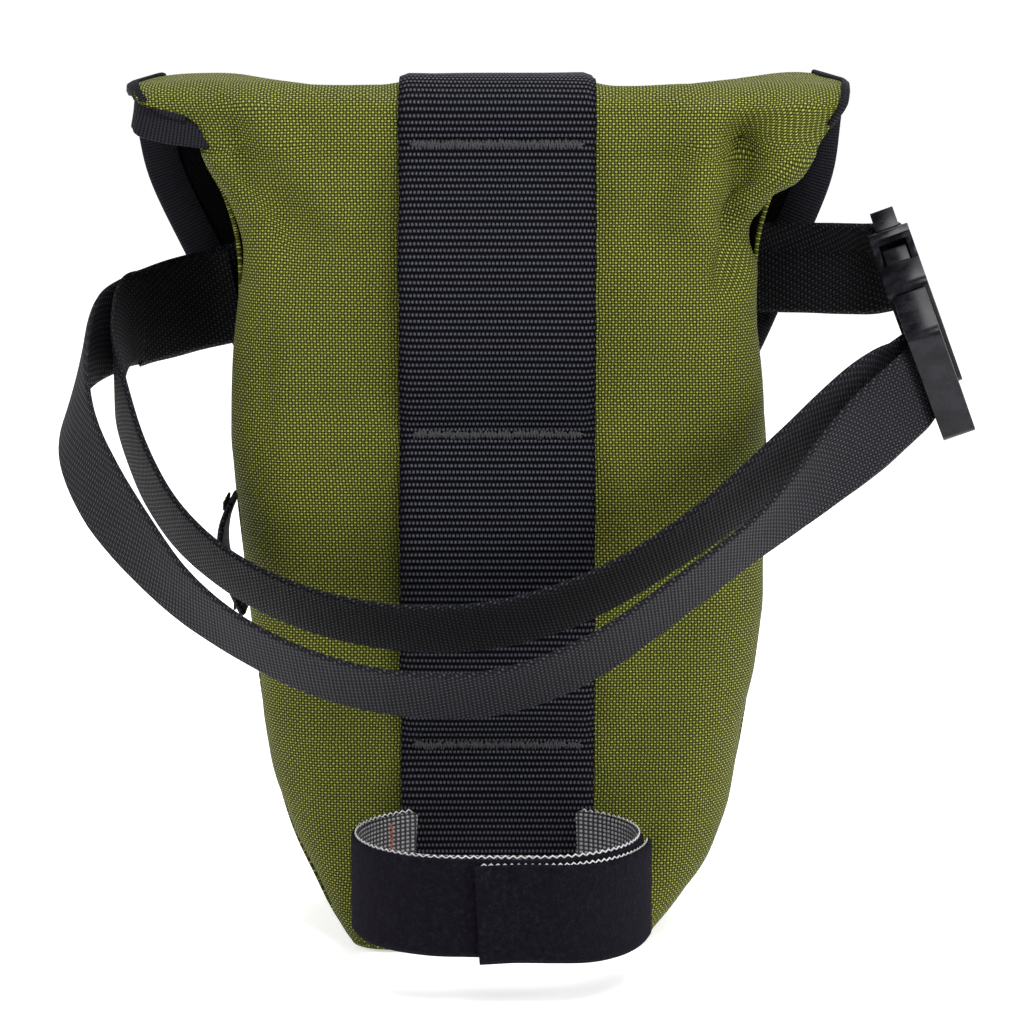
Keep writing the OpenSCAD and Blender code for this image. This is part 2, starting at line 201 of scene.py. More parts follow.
def ribbon_object(name, path, ups, width, thick, wave, seed):
    """Flat webbing along a path: rounded selvages, slightly wavy edges, and its cloth coordinates."""
    path = np.asarray(path, float)
    rows = len(path)
    t = unit(np.gradient(path, axis=0))
    u = mix_directions(ups, rows)
    u = unit(u - np.sum(u * t, axis=1, keepdims=True) * t)
    n = np.cross(t, u)
    length = run_length(path)
    across = 22
    section = []
    for j in range(across + 1):
        x = -1 + 2 * j / across
        h = (1 - abs(x) ** 26) ** 0.5
        section.append((x, h))
    loop = section + [(x, -h) for x, h in reversed(section[1:-1])]
    cols = len(loop)
    verts = np.zeros((rows, cols, 3))
    uvs = np.zeros((rows, cols, 2))
    rng = np.random.default_rng(seed)
    phases = rng.uniform(0, 6.28, 6)
    for j, (x, h) in enumerate(loop):
        near_edge = abs(x) ** 6
        ripple = np.sin(length / 5.3 + phases[0] + x) + 0.6 * np.sin(length / 2.1 + phases[1])
        wob = wave * near_edge * ripple
        lift = wave * 1.6 * np.sin(length / 17 + phases[2] + 1.3 * x) * abs(x) ** 2
        half = width / 2 * x + wob * 0.35 * np.sign(x)
        verts[:, j] = path + u * half[:, None] + n * (h * thick / 2 + lift)[:, None]
        uvs[:, j, 0] = width / 2 * x
        uvs[:, j, 1] = length
    faces = grid_faces(rows, cols, wrap=True, flip=True)
    faces.append(tuple(range(cols)))
    faces.append(tuple(reversed(range((rows - 1) * cols, rows * cols))))
    return make_object(name, verts.reshape(-1, 3), faces, uvs.reshape(-1, 2))


def tube_object(name, paths, radius, sides=6):
    """Thread: round tubes along one or more paths."""
    verts, faces, uvs = [], [], []
    for path in paths:
        path = np.asarray(path, float)
        t = unit(np.gradient(path, axis=0))
        a = unit(np.cross(t, [0.13, 0.21, 0.97]))
        b = np.cross(t, a)
        base = len(verts)
        for i in range(len(path)):
            for k in range(sides):
                w = 2 * math.pi * k / sides
                verts.append(path[i] + radius * (math.cos(w) * a[i] + math.sin(w) * b[i]))
                uvs.append((k, i))
        faces += grid_faces(len(path), sides, wrap=True, base=base)
        faces.append(tuple(reversed(range(base, base + sides))))
        last = base + (len(path) - 1) * sides
        faces.append(tuple(range(last, last + sides)))
    return make_object(name, verts, faces, uvs)


# Materials --------------------------------------------------------------------------------
MATT = 0.95


class Nodes:
    """Short ways to write a material's node tree."""

    def __init__(self, name):
        self.mat = bpy.data.materials.new(name)
        self.mat.use_nodes = True
        self.tree = self.mat.node_tree
        self.tree.nodes.clear()
        self.out = self.tree.nodes.new("ShaderNodeOutputMaterial")
        self.shader = self.tree.nodes.new("ShaderNodeBsdfPrincipled")
        self.link(self.shader.outputs[0], self.out.inputs[0])

    def link(self, a, b):
        self.tree.links.new(a, b)

    def put(self, socket, value):
        """Links a socket to another one, or sets its value."""
        if isinstance(value, bpy.types.NodeSocket):
            self.link(value, socket)
        else:
            socket.default_value = value

    def node(self, kind, *values, **props):
        n = self.tree.nodes.new(kind)
        for k, v in props.items():
            setattr(n, k, v)
        for i, v in enumerate(values):
            self.put(n.inputs[i], v)
        return n

    def math(self, op, *values):
        return self.node("ShaderNodeMath", *values, operation=op).outputs[0]

    def cloth(self):
        """Cloth coordinates in millimetres, across and along."""
        uv = self.tree.nodes.new("ShaderNodeUVMap")
        uv.uv_map = "cloth"
        sep = self.node("ShaderNodeSeparateXYZ", uv.outputs[0])
        return sep.outputs[0], sep.outputs[1], uv.outputs[0]

    def place(self):
        """Place in the object's own frame, in millimetres."""
        geo = self.tree.nodes.new("ShaderNodeTexCoord")
        to_mm = (1000, 1000, 1000)
        scale = self.node("ShaderNodeVectorMath", geo.outputs["Object"], to_mm, operation="MULTIPLY")
        return scale.outputs[0]

    def noise(self, vector, scale, detail=2.0, rough=0.5):
        n = self.tree.nodes.new("ShaderNodeTexNoise")
        self.link(vector, n.inputs["Vector"])
        n.inputs["Scale"].default_value = scale
        n.inputs["Detail"].default_value = detail
        n.inputs["Roughness"].default_value = rough
        return n.outputs[0]

    def ramp(self, value, stops):
        n = self.tree.nodes.new("ShaderNodeValToRGB")
        self.link(value, n.inputs[0])
        while len(n.color_ramp.elements) < len(stops):
            n.color_ramp.elements.new(0.5)
        for e, (pos, col) in zip(n.color_ramp.elements, stops):
            e.position = pos
            e.color = (*col, 1)
        return n.outputs[0]

    def tint(self, a, b):
        """One colour times another."""
        n = self.tree.nodes.new("ShaderNodeMix")
        n.data_type = "RGBA"
        n.blend_type = "MULTIPLY"
        n.inputs[0].default_value = 1.0
        self.link(a, n.inputs[6])
        self.link(b, n.inputs[7])
        return n.outputs[2]

    def times(self, a, b):
        return self.math("MULTIPLY", a, b)

    def middle(self, value):
        """Place within a repeat, -0.5 to 0.5."""
        return self.math("SUBTRACT", self.math("FRACT", value), 0.5)

    def dome(self, middle, power):
        """1 in the middle of a repeat and 0 at its ends."""
        off_centre = self.math("ABSOLUTE", self.times(middle, 2.0))
        return self.math("SUBTRACT", 1.0, self.math("POWER", off_centre, power))

    def ribs(self, value, pitch):
        """Rounded ribs, 0 to 1."""
        return self.math("ABSOLUTE", self.math("SINE", self.times(value, math.pi / pitch)))

    def fuzz(self, height, grain, amount):
        """A height roughened by a noise."""
        return self.math("ADD", height, self.times(self.math("SUBTRACT", grain, 0.5), amount))

    def bump(self, height, strength, distance):
        n = self.tree.nodes.new("ShaderNodeBump")
        n.inputs["Strength"].default_value = strength
        n.inputs["Distance"].default_value = distance * MM
        self.link(height, n.inputs["Height"])
        return n.outputs[0]

    def finish(self, colour, roughness, normal, specular=0.3, sheen=0.0, sheen_tint=(1, 1, 1), crown=None):
        """Sets the shader. With a crown height, roughness is for the crowns and the gaps are matt."""
        s = self.shader
        self.link(colour, s.inputs["Base Color"])
        if crown is not None:
            top = self.math("POWER", self.math("MINIMUM", self.math("MAXIMUM", crown, 0.0), 1.0), 2.0)
            roughness = self.math("SUBTRACT", MATT, self.times(top, MATT - roughness))
        self.put(s.inputs["Roughness"], roughness)
        s.inputs["Specular IOR Level"].default_value = specular
        s.inputs["Sheen Weight"].default_value = sheen
        s.inputs["Sheen Roughness"].default_value = 0.5
        s.inputs["Sheen Tint"].default_value = (*sheen_tint, 1)
        self.link(normal, s.inputs["Normal"])
        return self.mat


def weave_height(m, u, v, pitch_u, pitch_v):
    """Height of a plain weave, 0 in its gaps and 1 on its crowns."""
    a = m.math("DIVIDE", u, pitch_u)
    b = m.math("DIVIDE", v, pitch_v)
    parity = m.math("MODULO", m.math("ADD", m.math("FLOOR", a), m.math("FLOOR", b)), 2.0)
    parity = m.math("ABSOLUTE", parity)
    fa = m.middle(a)
    fb = m.middle(b)
    along_a = m.math("COSINE", m.times(fa, 2.6))
    along_b = m.math("COSINE", m.times(fb, 2.6))
    warp = m.times(m.math("SQRT", m.math("MAXIMUM", m.dome(fa, 2.0), 0.0)), along_b)
    weft = m.times(m.math("SQRT", m.math("MAXIMUM", m.dome(fb, 2.0), 0.0)), along_a)
    weft = m.times(weft, 0.72)
    return m.math("ADD", m.times(warp, parity), m.times(weft, m.math("SUBTRACT", 1.0, parity)))


def green_cloth():
    """Coarse plain-weave nylon with slightly wandering yarns and faded patches."""
    m = Nodes("green_cordura")
    u, v, uv = m.cloth()
    wander = m.noise(uv, 0.12, 2.0)
    u = m.math("ADD", u, m.times(wander, 1.2))
    h = m.fuzz(weave_height(m, u, v, 0.80, 0.72), m.noise(m.place(), 3.1, 2.0, 0.6), 0.35)
    # The colour follows the weave's height: the crowns have the cloth's own colour, and the darker gaps
    # between the yarns are painted shade.
    colour = m.ramp(h, [(0.15, (0.0065, 0.0072, 0.0)), (0.55, (0.036, 0.040, 0.0012)),
                        (0.95, (0.235, 0.255, 0.046))])
    patch = m.noise(m.place(), 0.03, 3.0, 0.55)
    shade = m.ramp(patch, [(0.3, (0.86, 0.88, 0.84)), (0.7, (1.08, 1.06, 1.0))])
    return m.finish(m.tint(colour, shade), 0.42, m.bump(h, 0.85, 0.3), specular=0.14, crown=h)


def webbing_cloth():
    """Heavy webbing: rows of raised yarn crowns across its width."""
    m = Nodes("webbing_50")
    u, v, _ = m.cloth()
    row = m.math("DIVIDE", v, 1.62)
    shift = m.times(m.math("MODULO", m.math("FLOOR", row), 2.0), 0.5)
    col = m.math("ADD", m.math("DIVIDE", u, 1.02), shift)
    across = m.math("MAXIMUM", m.dome(m.middle(row), 2.2), 0.0)
    beads = m.dome(m.middle(col), 2.4)
    h = m.times(across, m.math("ADD", 0.35, m.times(beads, 0.65)))
    h = m.fuzz(h, m.noise(m.place(), 4.0, 2.0, 0.6), 0.3)
    # The colour follows the weave's height: the crowns have the webbing's own colour, and the much darker
    # gaps between them are painted shade.
    colour = m.ramp(h, [(0.3, (0.0003, 0.0003, 0.0005)), (0.72, (0.0032, 0.0032, 0.0052)),
                        (1.0, (0.050, 0.051, 0.068))])
    return m.finish(colour, 0.34, m.bump(h, 1.0, 0.5), specular=0.06, crown=h)


def strap_cloth():
    """Thin strap webbing: a fine slanted twill."""
    m = Nodes("webbing_25")
    u, v, _ = m.cloth()
    h = weave_height(m, m.math("ADD", u, m.times(v, 0.35)), v, 0.85, 1.05)
    h = m.fuzz(h, m.noise(m.place(), 4.0, 2.0, 0.6), 0.3)
    # The colour follows the weave's height: the crowns have the strap's own colour, and the darker gaps
    # between the yarns are painted shade.
    colour = m.ramp(h, [(0.15, (0.0006, 0.0006, 0.001)), (0.6, (0.0045, 0.0045, 0.0065)),
                        (1.0, (0.034, 0.034, 0.044))])
    return m.finish(colour, 0.42, m.bump(h, 0.9, 0.35), specular=0.13, crown=h)


def tape_cloth():
    """Ribbed binding tape."""
    m = Nodes("binding_tape")
    u, v, _ = m.cloth()
    h = m.math("ADD", m.times(m.ribs(v, 0.9), 0.7), m.times(m.ribs(u, 0.7), 0.3))
    # Darker between the ribs as painted shade; the raised ribs have the tape's own colour.
    colour = m.ramp(h, [(0.1, (0.001, 0.001, 0.0014)), (1.0, (0.011, 0.011, 0.015))])
    return m.finish(colour, 0.6, m.bump(h, 0.8, 0.3), specular=0.07, crown=h)


def lining_cloth(name, low, high, pitch):
    """Thin plain-weave cloth."""
    m = Nodes(name)
    u, v, _ = m.cloth()
    h = weave_height(m, u, v, pitch, pitch)
    # Darker between the yarns as painted shade, with random tone mixed in; the crowns have the cloth's own
    # colour.
    colour = m.ramp(m.fuzz(h, m.noise(m.place(), 0.6, 3.0), 0.4), [(0.1, low), (1.0, high)])
    return m.finish(colour, 0.6, m.bump(h, 0.5, 0.2), specular=0.03, crown=h)


def pile_cloth():
    """Brushed loop pile of the seat-post band."""
    m = Nodes("loop_pile")
    p = m.place()
    coarse = m.noise(p, 0.75, 4.0, 0.7)
    fine = m.noise(p, 2.6, 3.0, 0.7)
    h = m.math("ADD", m.times(coarse, 0.5), m.times(fine, 0.5))
    colour = m.ramp(h, [(0.36, (0.0012, 0.001, 0.0018)), (0.55, (0.0052, 0.0046, 0.0072)),
                        (0.72, (0.020, 0.018, 0.026))])
    bump = m.bump(h, 1.0, 1.6)
    return m.finish(colour, MATT, bump, specular=0.02, sheen=0.035, sheen_tint=(0.55, 0.5, 0.7))


def hook_cloth():
    """Inside face of the seat-post band: a pale grid of moulded hooks over black tape."""
    m = Nodes("hook_face")
    u, v, _ = m.cloth()
    h = m.times(m.ribs(u, 1.1), m.ribs(v, 1.5))
    colour = m.ramp(h, [(0.35, (0.006, 0.006, 0.008)), (0.75, (0.22, 0.21, 0.22))])
    return m.finish(colour, 0.5, m.bump(h, 0.8, 0.5), specular=0.4)


def plastic(name, low, high, rough):
    """Moulded acetal with a fine spark-eroded grain and lighter worn patches."""
    m = Nodes(name)
    p = m.place()
    grain = m.noise(p, 3.2, 3.0, 0.6)
    wear = m.noise(p, 0.22, 3.0, 0.6)
    colour = m.ramp(wear, [(0.35, low), (0.7, high)])
    roughness = m.math("ADD", rough - 0.08, m.times(wear, 0.2))
    return m.finish(colour, roughness, m.bump(grain, 0.25, 0.05), specular=0.13)


def thread_fibre(name, low, high):
    """Twisted sewing thread."""
    m = Nodes(name)
    twist = m.noise(m.place(), 5.0, 2.0)
    colour = m.ramp(twist, [(0.3, low), (0.7, high)])
    return m.finish(colour, 0.5, m.bump(twist, 0.5, 0.1), specular=0.4)


def foam_grain():
    """Dark open-cell foam of the base pad."""
    m = Nodes("foam")
    cells = m.noise(m.place(), 1.6, 4.0)
    colour = m.ramp(cells, [(0.3, (0.02, 0.02, 0.022)), (0.7, (0.06, 0.06, 0.065))])
    return m.finish(colour, 0.9, m.bump(cells, 0.6, 0.4))


GREEN = green_cloth()
SPINE = webbing_cloth()
STRAP = strap_cloth()
TAPE = tape_cloth()
LINING = lining_cloth("tan_lining", (0.045, 0.026, 0.014), (0.17, 0.105, 0.06), 0.6)
BLACK = lining_cloth("black_lining", (0.0004, 0.0004, 0.0006), (0.002, 0.002, 0.0028), 0.9)
PILE = pile_cloth()
HOOKS = hook_cloth()
PLASTIC = plastic("moulded_plastic", (0.003, 0.003, 0.0042), (0.011, 0.011, 0.0145), 0.24)
SHEET_PLASTIC = plastic("sheet_plastic", (0.02, 0.02, 0.02), (0.05, 0.05, 0.05), 0.5)
THREAD = thread_fibre("black_thread", (0.002, 0.002, 0.003), (0.012, 0.012, 0.016))
ORANGE_THREAD = thread_fibre("orange_thread", (0.16, 0.035, 0.01), (0.42, 0.12, 0.04))
WHITE_THREAD = thread_fibre("pale_thread", (0.25, 0.25, 0.26), (0.6, 0.6, 0.6))
FOAM = foam_grain()


def dress(obj, material, body, replaced=()):
    """Gives a piece its material, attaches it to its body, and hides the CAD nodes that it stands for."""
    obj.data.materials.clear()
    obj.data.materials.append(material)
    if body:
        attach(obj, body)
    if replaced:
        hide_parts(*replaced)


# Bag body ---------------------------------------------------------------------------------
# Right half of the body's outline, [half width, height]
BODY_SIDE = [(38, 0), (44.5, 8), (51.5, 19), (57, 31), (62.5, 54), (66.8, 88), (69.3, 118), (70, 150),
             (70, 182), (72.8, 196), (75.5, 206), (76, BODY_H)]
side_curve = smoothed(even(catmull(BODY_SIDE, 8), 120), 6)


def half_width(z):
    """Half the body's width; the filled bag draws in a little below its mouth."""
    z = np.asarray(z)
    drawn_in = 2.6 * ease((z - 130) / 35) * ease((210 - z) / 14)
    return np.interp(z, side_curve[:, 1], side_curve[:, 0]) - drawn_in


def lean(z):
    """Sideways lean of the soft body."""
    z = np.asarray(z)
    return 1.7 * (1 - ease((z - 90) / 60)) * ease(z / 20)


def flare_right(z):
    """How far the mounting face stands out past the body's side, on the buckle's side."""
    return np.interp(z, [170, 184, 190, 196, 204, 209], [0, -1.5, -2.5, -1.2, 2.0, 5.0])


def far_y(z):
    """Where the far face stands: it leans out from the base and is straight near the mouth."""
    return FAR_BASE_Y + (FAR_TOP_Y - FAR_BASE_Y) * np.minimum(1, np.asarray(z) / (BODY_H - 14))


def turned_normals(grid, cell, axis, sign):
    """A grid's normals, turned so that the one at cell points the given way along axis."""
    n = grid_normals(grid)
    return -n if n[cell][axis] * sign < 0 else n


def slack(x, y, z, size, seed):
    """Low, soft unevenness of cloth under little tension."""
    return np.vectorize(lambda a, b, c: noise.noise(Vector((a / size + seed, b / size, c / size))))(x, y, z)


CORNER = 17.0


def corner_depth(z):
    """How far back the mounting face's side seams lie: the corner gets sharper near the mouth."""
    return CORNER * (1 - 0.8 * ease((z - 178) / 36)) * (0.55 + 0.45 * ease(z / 30))


def face_row(z, cols):
    """One row across the mounting face, from seam to seam, with rounded corners."""
    hw = half_width(z)
    r = corner_depth(z)
    q = np.linspace(-1, 1, cols)
    run = hw - r + r * math.pi / 2
    s = np.abs(q) * run
    ang = np.clip((s - (hw - r)) / r, 0, math.pi / 2)
    x = np.where(s < hw - r, s, hw - r + r * np.sin(ang)) * np.sign(q)
    x = x + flare_right(z) * ease((x - 35) / (hw - 35))
    y = MOUNT_Y + 0.1 + r * (1 - np.cos(ang))
    crown = 1.6 * (np.clip((np.abs(x) - 20) / 50, 0, 1)) ** 2
    return np.stack([x + lean(z), y + crown, np.full(cols, float(z))], axis=1)


# Side view of the lid's outer face, carried on from the mounting face, [y, z]
LID_PATH = [(-42.3, BODY_H - 6), (-42.4, BODY_H + 1), (-41.2, BODY_H + 5.6), (-36.2, BODY_H + 10.3),
            (-26, BODY_H + 13.1), (-8, BODY_H + 14.1), (14, BODY_H + 14.1), (32, BODY_H + 13.2),
            (44, BODY_H + 10.0), (50.2, BODY_H + 3.4), (52.4, BODY_H - 6), (52.6, 196), (51.8, 176),
            (49.0, 156), (44.6, 143), (42.8, LID_LOW_Z)]
# Half widths of the lid at those points, on each side
LID_LEFT = [74, 77.5, 90.5, 92.5, 94.5, 96.5, 98.5, 99.5, 100, 100, 99.5, 96.5, 87, 77, 69, 55]
LID_RIGHT = [81, 86, 88.3, 89, 90, 91.5, 93, 94, 94.5, 94.6, 94, 92, 84, 76, 69, 55]
FACE_COLS = 121


def lid_rows(count):
    """Centre line, half width and outward direction of each row of the lid."""
    line = np.array([(y, z, a, b) for (y, z), a, b in zip(LID_PATH, LID_LEFT, LID_RIGHT)])
    dense = even(smoothed(even(catmull(line, 10), 240), 3), count)
    t = unit(np.gradient(dense[:, :2], axis=0))
    return dense, np.stack([-t[:, 1], t[:, 0]], axis=1)


def folds(x, z):
    """Creases and rolls of the mounting face near the lid's corners and its base, as depth inwards."""
    line = np.interp(z, [160, 172, 184, 194, 204, 214, 222], [55, 58, 61.5, 60, 62.5, 62, 66])
    deep = 7.5 * hump(x, line, 4.4) * ease((z - 166) / 18) * ease((222 - z) / 12)
    deep -= 3.4 * hump(x, line - 10, 7) * ease((z - 176) / 18) * ease((226 - z) / 10)
    deep -= 3.2 * hump(x, line + 12, 7) * ease((z - 196) / 8)
    deep -= 2.2 * hump(x, 66, 7) * hump(z, 180, 9)
    deep += 1.5 * hump(x - 44 + (206 - z) * 0.5, 0, 6) * ease((z - 178) / 14) * ease((216 - z) / 10)
    left = 4.4 * hump(x, -56, 11) * hump(z, 188, 15)
    left = left - 3.2 * hump(x + 57 - (212 - z) * 0.75, 0, 7.5) * ease((z - 182) / 14)
    left += 2.4 * hump(x + 66 - (216 - z) * 0.12, 0, 3.4) * ease((z - 192) / 10) * ease((222 - z) / 8)
    left += 1.6 * hump(x + 60, 0, 4) * hump(z, 150, 16)
    low = 1.8 * hump(x - 44 + (40 - z) * 0.5, 0, 6) * ease((48 - z) / 22) * ease((z - 4) / 8)
    low += 1.6 * hump(x + 44 - (36 - z) * 0.5, 0, 7) * ease((44 - z) / 22) * ease((z - 4) / 8)
    return deep + left + low


def front_grid():
    """The mounting face and the lid as one sheet, from the base over the top and down the far side."""
    heights = np.r_[np.linspace(LOW_ROW, 30, 16), np.linspace(32, BODY_H - 8, 92)]
    rows = [face_row(z, FACE_COLS) for z in heights]
    body_rows = len(rows)
    dense, out = lid_rows(110)
    q = np.linspace(-1, 1, FACE_COLS)
    for i, (y, z, left, right) in enumerate(dense):
        w = np.where(q < 0, left, right)
        s = i / (len(dense) - 1)
        top = ease((i - 10) / 16) * ease((62 - i) / 14)
        xs = np.abs(w * q)
        beside = ease((xs - 24) / 6) * (1 - ease((xs - 40) / 36))
        droop = 2.0 * np.abs(q) ** 10 * top + 2.2 * (np.abs(q) ** 3) * ease((i - 60) / 20)
        lift = top * (-5.6 - 2.0 * beside + 2.6 * hump(np.abs(q), 0.84, 0.2))
        depth = corner_depth(BODY_H - 8) * np.clip(1 - i / 16, 0, 1) * np.abs(q) ** 9
        off = lift - droop - depth
        rows.append(np.stack([w * q, y + out[i, 0] * off, z + out[i, 1] * off], axis=1))
    return np.array(rows), body_rows


front, BODY_ROWS = front_grid()
X, Y, Z = front[..., 0], front[..., 1], front[..., 2]
MID_COL = FACE_COLS // 2
normals = turned_normals(front, (10, MID_COL), 1, -1)
row_index = np.arange(front.shape[0])[:, None]
on_body = 1 - ease((row_index - BODY_ROWS - 6) / 10)
free = np.clip((np.abs(X) - 24) / 12, 0, 1)
push = -folds(X, Z) * on_body * free
push = push + 1.5 * slack(X, Y, Z, 34, 3) * np.clip((np.abs(X) - 18) / 30, 0.15, 1)
push = push + 0.5 * slack(X, Y, Z, 13, 9) * free
push = np.where(np.abs(X) < 27, np.minimum(push, 0), push)
front = front + normals * push[..., None]
# Row of the sheet from which the lid has its own lining
LID_FROM = BODY_ROWS + 6


def across_length(grid):
    """Distance across each row of a grid from its first column."""
    out = np.zeros(grid.shape[:2])
    out[:, 1:] = np.cumsum(np.linalg.norm(np.diff(grid, axis=1), axis=2), axis=1)
    return out


cloth_u = across_length(front)
cloth_u -= cloth_u[:, MID_COL][:, None]
cloth_v = np.zeros(front.shape[:2]) + run_length(front[:, MID_COL])[:, None]
cloth_uv = np.stack([cloth_u, cloth_v], axis=2)
front_piece = sheet_object("mounting_face_and_lid", front, CLOTH_T, cloth_uv)
dress(front_piece, GREEN, None, ("mounting_panel", "lid_flap"))


def cross_section(z, cols):
    """Rest of the body's outline at height z: side, far face, other side, from seam to seam."""
    hw = half_width(z)
    far = far_y(z) - 0.2
    r = 11.0 * (0.6 + 0.4 * ease(z / 30)) * (1 - 0.6 * ease((z - 190) / 26))
    pts = [(hw, MOUNT_Y + 0.1 + corner_depth(z) + 1.6)]
    for a in np.linspace(0, math.pi / 2, 9):
        pts.append((hw - r + r * math.cos(a), far - r + r * math.sin(a)))
    half = even(np.array(pts), 40)
    full = np.concatenate([half, [[0, far]], half[::-1] * [-1, 1]]) + [lean(z), 0]
    return np.concatenate([even(full, cols), np.full((cols, 1), float(z))], axis=1)


def back_grid(cols):
    """The sides and the far face as one grid, from the base to the mouth."""
    heights = np.r_[np.linspace(LOW_ROW, 30, 16), np.linspace(32, BODY_H, 92)]
    g = np.array([cross_section(z, cols) for z in heights])
    n = turned_normals(g, (50, cols // 2), 1, 1)
    col = np.arange(cols)
    keep = ease(np.minimum(col, cols - 1 - col) / 8)[None, :]
    x, y, z = g[..., 0], g[..., 1], g[..., 2]
    bulge = 1.7 * slack(x, y, z, 38, 21) + 0.5 * slack(x, y, z, 12, 5)
    far_side = np.clip((y - 24) / 12, 0, 1)
    bulge = bulge * (1 - 0.75 * far_side) * ease((BODY_H - z) / 12)
    return g + n * (bulge * keep)[..., None]


BACK_COLS = 141
SIDE_COLS = int(BACK_COLS * 0.30)
back = back_grid(BACK_COLS)
back_uv = np.stack([across_length(back), back[..., 2]], axis=2)
back_flip = grid_normals(back)[50, BACK_COLS // 2, 1] < 0
for name, first, last, replaced in (("far_face", SIDE_COLS, BACK_COLS - SIDE_COLS, ("far_panel",)),
                                    ("side_left", BACK_COLS - SIDE_COLS - 1, BACK_COLS, ()),
                                    ("side_right", 0, SIDE_COLS + 1, ("gusset_strip",))):
    part = sheet_object(name, back[:, first:last], CLOTH_T, back_uv[:, first:last], back_flip)
    dress(part, GREEN, "bag", replaced)


def base_piece():
    """The strip under the base, turned up a little at its edge."""
    ring = np.concatenate([face_row(LOW_ROW, 61)[:-1], cross_section(LOW_ROW, 101)])
    centre = ring.mean(axis=0)
    rows = []
    for f, z in ((1.0, 1.5), (0.985, 0.5), (0.95, 0.1), (0.8, 0.05), (0.55, 0.05), (0.3, 0.05), (0.02, 0.05)):
        row = centre + (ring - centre) * f
        row[:, 2] = z
        rows.append(row)
    g = np.array(rows)
    n = grid_normals(g)
    return sheet_object("base_strip", g, 1.0, g[..., :2].copy(), bool(n[4, 10, 2] > 0))


dress(base_piece(), GREEN, "bag")


# Lining, stiffener and pad ----------------------------------------------------------------
def lining_piece():
    """A thin inner bag with its own floor, a few millimetres inside the outer cloth."""
    rows = []
    floor_z = 6.6
    for z in np.r_[np.linspace(floor_z, 30, 8), np.linspace(34, BODY_H - 0.5, 40)]:
        ring = np.concatenate([face_row(z, 61), cross_section(z, 101)[1:-1]])
        middle = ring.mean(axis=0)
        depth = (far_y(z) - MOUNT_Y) / 2
        shrink = np.array([(half_width(z) - 2.8) / half_width(z), (depth - 6.2) / depth, 1])
        ring = middle + (ring - middle) * shrink + np.array([0, 2.4, 0])
        ring[:, 2] = z
        rows.append(ring)
    middle = rows[0].mean(axis=0)
    floor_rows = []
    for f in (0.9, 0.6, 0.3, 0.02):
        row = middle + (rows[0] - middle) * f
        row[:, 2] = floor_z
        floor_rows.append(row)
    g = np.array(floor_rows[::-1] + rows)
    rows_n, cols_n, _ = g.shape
    row_v = np.arange(rows_n)[:, None] * 4.4 + np.zeros((1, cols_n))
    uv = np.stack([across_length(g), row_v], axis=2)
    faces = grid_faces(rows_n, cols_n, wrap=True)
    obj = make_object("lining_bag", g.reshape(-1, 3), faces, uv.reshape(-1, 2))
    solid = obj.modifiers.new("thickness", "SOLIDIFY")
    solid.thickness = 0.5 * MM
    return obj


dress(lining_piece(), LINING, "bag", ("lining",))
for node, material, inwards in (("back_stiffener", SHEET_PLASTIC, 5.0), ("base_pad", FOAM, 0.0)):
    flat = placed(node + "_sheet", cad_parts[node].data.copy())
    flat.location.y = inwards * MM
    bpy.context.view_layer.update()
    dress(flat, material, "bag", (node,))


# Edges bound in tape ----------------------------------------------------------------------
def bind_edge(name, edge, inward, normal, depth, thick, skin, shown=None):
    """Tape folded over an edge: outside face, fold and inside face.

    skin is the thickness of what it binds. shown is the share of the outside face's width at each point.
    """
    top = thick + 0.4
    under = -skin - thick
    # Outline of the folded tape, [distance inwards from the edge, height over the outer face]
    steps = [(depth, thick), (depth - 0.5, thick + 0.35), (depth * 0.5, top), (0.8, top),
             (-0.5, thick * 0.4), (-0.75, -skin * 0.5), (-0.5, -skin - thick * 0.4),
             (0.8, under - 0.4), (depth * 0.5, under - 0.4), (depth - 0.5, under - 0.35), (depth, under),
             (depth, -skin + 0.1), (1.0, -skin + 0.1), (1.0, -0.1), (depth, -0.1)]
    whole = np.ones(len(edge))
    shown = whole if shown is None else shown
    rows = []
    for i, (d, h) in enumerate(steps):
        if i < 3 or i == len(steps) - 1:
            share = shown
        else:
            share = np.maximum(shown, 0.25) if d > 1 else whole
        reach = 1.0 + (d - 1.0) * share
        rows.append(edge + inward * reach[:, None] + normal * h)
    g = np.array(rows).transpose(1, 0, 2)
    cols = g.shape[1]
    uv = np.zeros(g.shape[:2] + (2,))
    uv[..., 0] = np.array([d if i < 6 else -d for i, (d, h) in enumerate(steps)])[None, :]
    uv[..., 1] = run_length(edge)[:, None]
    faces = grid_faces(len(edge), cols, wrap=True)
    faces.append(tuple(reversed(range(cols))))
    faces.append(tuple(range((len(edge) - 1) * cols, len(edge) * cols)))
    return make_object(name, g.reshape(-1, 3), faces, uv.reshape(-1, 2))


lid_n = turned_normals(front, (BODY_ROWS + 40, MID_COL), 2, 1)
# Rows of the sheet at which the tape starts, on the left and on the right
EDGE_FROM = BODY_ROWS + 5
EDGE_RIGHT = BODY_ROWS + 3


